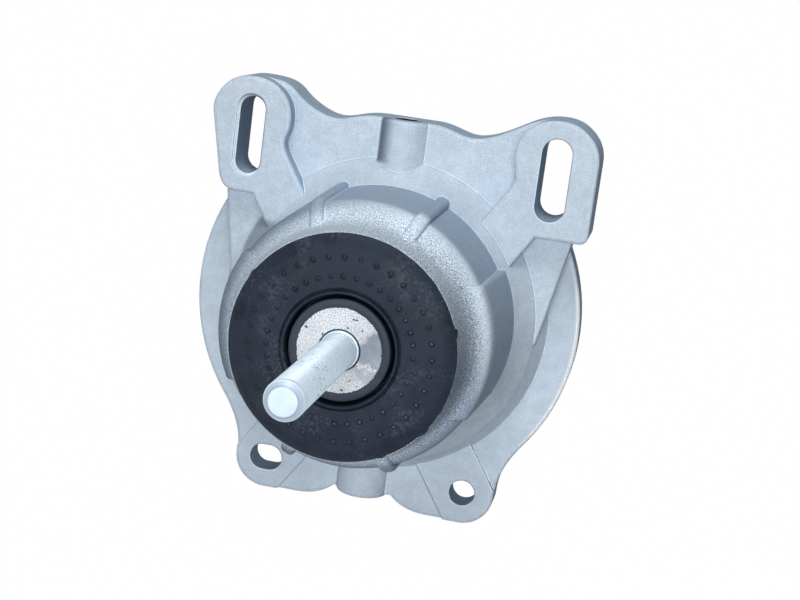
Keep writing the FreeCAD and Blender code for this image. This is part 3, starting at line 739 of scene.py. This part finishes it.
FACE_PROFILE = face_profile()


def rubber_ring(angle):
    """Closed outline of the rubber at one angle round the axis."""
    skin = SKIN_REACH + sum(height * wander(angle, size, seed) for height, size, seed in SKIN_WAVES)
    outline = [(CORE_RADIUS - skin, SKIN_FOOT), (CORE_RADIUS - skin * SKIN_SLOPE, SKIN_TOP)]
    outline += COLLAR_PROFILE + GROOVE_PROFILE + RING_PROFILE + SMALL_GROOVE_PROFILE
    outline += [(r, z + dot_rise(r, angle)) for r, z in FACE_PROFILE]
    reach = flash_reach(angle)
    outline.append((FLASH_RADIUS + reach * FLASH_TOP_SHARE, FLASH_TOP - FLASH_TOP_SLOPE * reach))
    outline.append((FLASH_RADIUS + reach, FLASH_TIP - FLASH_TIP_SLOPE * reach))
    return outline + NECK_PROFILE + BODY_PROFILE + ARCH_PROFILE + CORE_SIDE_PROFILE


def rubber_spring():
    outlines = []
    for step in range(TURN_STEPS):
        angle = step * math.tau / TURN_STEPS
        outlines.append([(r * math.cos(angle), r * math.sin(angle), z) for r, z in rubber_ring(angle)])
    made = grid_mesh("spring_face", outlines, True, materials["rubber_spring"])
    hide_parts("rubber_spring")


# Stud with its thread

PITCH = 1.75
THREAD_RADIUS = 5.97
THREAD_DEPTH = 0.5
THREAD_START = 82.0
THREAD_END = 145.6
FLANK_SLOPE = 1.5
CREST_SHARE = 0.25
ROWS_PER_TURN = 10
STUD_STEPS = 96
STUD_ANGLES = [step * math.tau / STUD_STEPS for step in range(STUD_STEPS)]
CENTRE_RADIUS = 0.01
SHANK_RADIUS = 6.28
SHANK_FOOT = 54.0
SHANK_TOP = 80.98
STUD_TOP = 147.6
SHANK_PROFILE = (
    (CENTRE_RADIUS, SHANK_FOOT),
    (SHANK_RADIUS, SHANK_FOOT),
    (SHANK_RADIUS, SHANK_TOP - 0.13),
    (SHANK_RADIUS - 0.15, SHANK_TOP),
    (5.75, SHANK_TOP),
    (5.7, THREAD_START - 0.3),
)
TIP_PROFILE = (
    (5.6, STUD_TOP - 1.4),
    (4.5, STUD_TOP - 0.25),
    (4.2, STUD_TOP - 0.05),
    (3.95, STUD_TOP - 0.02),
    (3.3, STUD_TOP),
    (CENTRE_RADIUS, STUD_TOP),
)


def thread_radius(z, angle):
    """Radius of the thread at one place, from its crest down to its root."""
    turn = (z / PITCH - angle / math.tau) % 1.0
    form = min(1.0, max(0.0, abs(turn * 2.0 - 1.0) * FLANK_SLOPE - CREST_SHARE))
    fade = min(1.0, (z - THREAD_START) / PITCH, (THREAD_END - z) / PITCH)
    return THREAD_RADIUS - THREAD_DEPTH * form * max(0.0, fade)


def stud_row(z, radii):
    """Ring of points at one height, with a radius for each angle."""
    return [(r * math.cos(a), r * math.sin(a), z) for r, a in zip(radii, STUD_ANGLES)]


def stud():
    """Smooth shank, thread and chamfered end, from the foot upwards."""
    rows = [stud_row(z, [radius] * STUD_STEPS) for radius, z in SHANK_PROFILE]
    count = int((THREAD_END - THREAD_START) / PITCH * ROWS_PER_TURN)
    for n in range(count + 1):
        z = THREAD_START + (THREAD_END - THREAD_START) * n / count
        rows.append(stud_row(z, [thread_radius(z, angle) for angle in STUD_ANGLES]))
    rows += [stud_row(z, [radius] * STUD_STEPS) for radius, z in TIP_PROFILE]
    made = grid_mesh("threaded_stud", rows, False, materials["stud"])
    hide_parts("stud")


rubber_spring()
stud()


# Floor and world, white where the camera or a mirror sees them; from here on in metres

FLOOR_SIZE = 6.0
FLOOR_HEIGHT = -0.0002
FLOOR_COLOUR = (0.30, 0.31, 0.32, 1.0)
FLOOR_ROUGHNESS = 0.9
FLOOR_GLOW = 0.995
WORLD_COLOUR = (0.80, 0.88, 1.0, 1.0)
WORLD_LEVEL = 0.04


def seen_as_white(tree, own, kind, most=1.0):
    """White for the camera and in mirror and glass reflections, the given shader for all other rays."""
    rays = add_node(tree, "ShaderNodeLightPath").outputs
    share = rays["Is Camera Ray"]
    for name in ("Is Glossy Ray", "Is Transmission Ray"):
        share = add_node(tree, "ShaderNodeMath", {0: share, 1: rays[name]}, operation="MAXIMUM").outputs[0]
    share = add_node(tree, "ShaderNodeMath", {0: share, 1: most}, operation="MULTIPLY").outputs[0]
    white = add_node(tree, kind, {"Color": WHITE})
    both = {0: share, 1: own.outputs[0], 2: white.outputs[0]}
    return add_node(tree, "ShaderNodeMixShader", both).outputs[0]


def floor():
    bpy.ops.mesh.primitive_plane_add(size=FLOOR_SIZE, location=(0.0, 0.0, FLOOR_HEIGHT))
    made = bpy.context.object
    made.name = "floor"
    material = bpy.data.materials.new("floor_white")
    material.use_nodes = True
    tree = material.node_tree
    matt = tree.nodes["Principled BSDF"]
    matt.inputs["Roughness"].default_value = FLOOR_ROUGHNESS
    matt.inputs["Base Color"].default_value = FLOOR_COLOUR
    shader = seen_as_white(tree, matt, "ShaderNodeEmission", FLOOR_GLOW)
    feed(tree, shader, tree.nodes["Material Output"].inputs["Surface"])
    made.data.materials.append(material)


def world():
    made = bpy.data.worlds.new("studio")
    bpy.context.scene.world = made
    made.use_nodes = True
    tree = made.node_tree
    ambient = tree.nodes["Background"]
    ambient.inputs["Color"].default_value = WORLD_COLOUR
    ambient.inputs["Strength"].default_value = WORLD_LEVEL
    shader = seen_as_white(tree, ambient, "ShaderNodeBackground")
    feed(tree, shader, tree.nodes["World Output"].inputs["Surface"])


# Lamps: name, place and power

LAMP_SIZE = 0.35
LAMP_TARGET = (0.0, 0.0, 0.04)
LAMPS = (
    ("front", (-0.08, 0.05, 1.1), 3.9),
    ("front_right", (0.36, 0.2, 1.05), 1.9),
    ("top", (0.0, 0.95, 0.5), 4.6),
    ("lower_right", (0.5, -0.5, 0.85), 0.9),
    ("lower_left", (-0.5, -0.5, 0.85), 1.0),
)


def put(name, data, place, rotation):
    """Adds a lamp or camera at a place, turned by a quaternion."""
    made = bpy.data.objects.new(name, data)
    bpy.context.scene.collection.objects.link(made)
    made.location = place
    made.rotation_mode = "QUATERNION"
    made.rotation_quaternion = rotation
    return made


def lamp(name, place, power):
    """Square soft lamp that looks at the middle of the mount."""
    data = bpy.data.lights.new(name, "AREA")
    data.shape = "SQUARE"
    data.size = LAMP_SIZE
    data.energy = power
    put(name, data, place, (Vector(LAMP_TARGET) - Vector(place)).to_track_quat("-Z", "Y"))


# Camera, as fitted to the photograph

CAMERA_PLACE = (0.09696, 0.11981, 0.56002)
CAMERA_TURN = (0.98863951, -0.09616913, 0.08880029, 0.07387779)
CAMERA_LENS = 73.5637
CAMERA_SENSOR = 36.0
CAMERA_CLIP = 0.01


def camera():
    data = bpy.data.cameras.new("camera")
    data.lens = CAMERA_LENS
    data.sensor_width = CAMERA_SENSOR
    data.clip_start = CAMERA_CLIP
    bpy.context.scene.camera = put("camera", data, CAMERA_PLACE, Quaternion(CAMERA_TURN))


floor()
world()
for name, place, power in LAMPS:
    lamp(name, place, power)
camera()
bpy.context.scene.view_settings.view_transform = "Standard"

bpy.context.view_layer.update()
